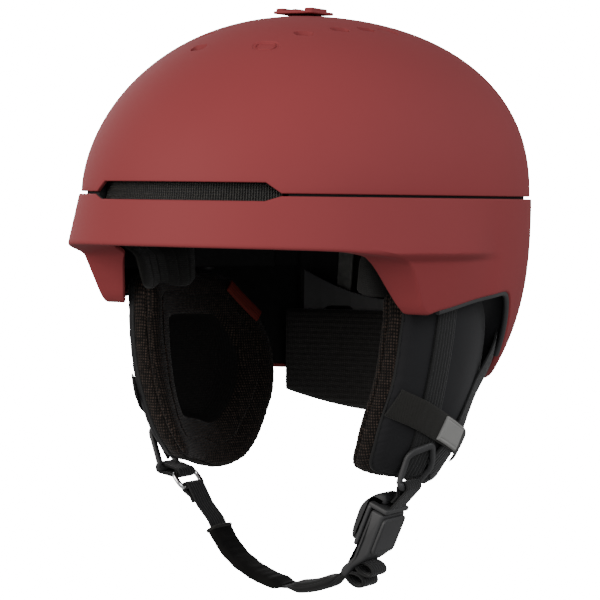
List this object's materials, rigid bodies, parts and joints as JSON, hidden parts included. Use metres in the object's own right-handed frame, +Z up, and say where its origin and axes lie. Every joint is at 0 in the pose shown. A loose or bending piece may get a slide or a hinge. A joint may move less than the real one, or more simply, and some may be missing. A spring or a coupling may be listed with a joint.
{
  "type": "ski helmet",
  "caption": "Adult snow-sports helmet: two-piece hard shell on foam, padded ear flaps, dial fit cradle, sliding crown vents and a magnetic chin-strap buckle.",
  "frame": {"origin": "centre of the head cavity on the plane of the parting line between the upper and lower shell; a head holds the helmet here", "axes": "+Z up through the crown, -Y is the way the wearer faces, +X is the wearer's left"},
  "size_m": [0.2238, 0.2818, 0.3024],
  "materials": {
    "red_shell": "soft matt lacquer over ABS",
    "foam": "moulded expanded foam beads",
    "black_plastic": "fine moulded grain",
    "comfort_fabric": "brushed knit",
    "grey_fabric": "brushed knit",
    "ear_neoprene": "smooth neoprene with mesh inside",
    "nape_fabric": "ribbed knit",
    "grey_webbing": "woven tape",
    "black_webbing": "ribbed woven webbing",
    "grosgrain": "grosgrain ribbon",
    "chin_fabric": "brushed fleece",
    "red_webbing": "woven tape",
    "label_rubber": "matt moulded rubber",
    "steel": "plated",
    "chrome": "polished"
  },
  "bodies": {
    "helmet": {"upper_shell": "red_shell", "lower_shell": "red_shell", "impact_liner": "foam", "front_vent_grille": "black_plastic", "brow_pad": "comfort_fabric", "crown_pad": "comfort_fabric", "side_pad_left": "grey_fabric", "side_pad_right": "grey_fabric", "fit_halo": "black_plastic", "halo_anchors": "black_plastic", "ear_pad_left": "ear_neoprene", "ear_pad_right": "ear_neoprene", "pad_snaps": "black_plastic", "pad_tabs": "red_webbing", "strap_anchors": "steel", "front_strap_left": "black_webbing", "front_strap_right": "black_webbing", "rear_strap_left": "black_webbing", "rear_strap_right": "black_webbing", "divider_left": "black_plastic", "divider_right": "black_plastic", "pad_loop_left": "grosgrain", "pad_loop_right": "grosgrain", "badge_left": "label_rubber", "badge_right": "label_rubber", "strap_tab": "black_webbing", "strap_ring": "chrome", "goggle_hook_base": "black_plastic", "goggle_hook_pin": "steel"},
    "slider": {"slider_knob": "red_shell", "vent_shutter": "black_plastic"},
    "cradle": {"rear_cradle": "black_plastic", "cradle_strap_left": "grey_webbing", "cradle_strap_right": "grey_webbing", "dial_housing": "black_plastic", "housing_screws": "steel", "lace": "grey_webbing", "nape_pad": "nape_fabric"},
    "dial": {"fit_dial": "black_plastic", "dial_spindle": "steel"},
    "chin_strap": {"chin_webbing": "black_webbing", "chin_pad": "chin_fabric", "buckle_body": "black_plastic", "buckle_cover": "black_plastic", "body_magnet": "steel", "slack_rolls": "black_webbing"},
    "catch": {"catch_webbing": "black_webbing", "buckle_catch": "black_plastic", "catch_magnet": "steel", "catch_grip": "label_rubber"},
    "goggle_hook": {"goggle_hook": "black_plastic"}
  },
  "joints": [
    {"name": "vent_slide", "type": "hinge", "parent": "helmet", "child": "slider", "pos_m": [0, 0, -0.0505], "axis": [-1, 0, 0], "range_deg": [0, 2.9]},
    {"name": "cradle_slide", "type": "slide", "parent": "helmet", "child": "cradle", "axis": [0, -1, 0], "range_m": [0, 0.01]},
    {"name": "dial_turn", "type": "hinge", "parent": "cradle", "child": "dial", "pos_m": [0, 0.108, -0.1105], "axis": [0, 1, 0], "range_deg": [0, 540]},
    {"name": "chin_strap_swing", "type": "hinge", "parent": "helmet", "child": "chin_strap", "pos_m": [-0.057, -0.019, -0.1552], "axis": [0, 1, 0], "range_deg": [0, 60]},
    {"name": "catch_swing", "type": "hinge", "parent": "helmet", "child": "catch", "pos_m": [0.073, -0.019, -0.146], "axis": [0, 1, 0], "range_deg": [0, 12]},
    {"name": "goggle_hook_hinge", "type": "hinge", "parent": "helmet", "child": "goggle_hook", "pos_m": [0, 0.1421, -0.017], "axis": [1, 0, 0], "range_deg": [0, 75]}
  ],
  "couplings": [
    {"joint": "dial_turn", "follows": "cradle_slide", "rad_per_m": 942.48}
  ]
}
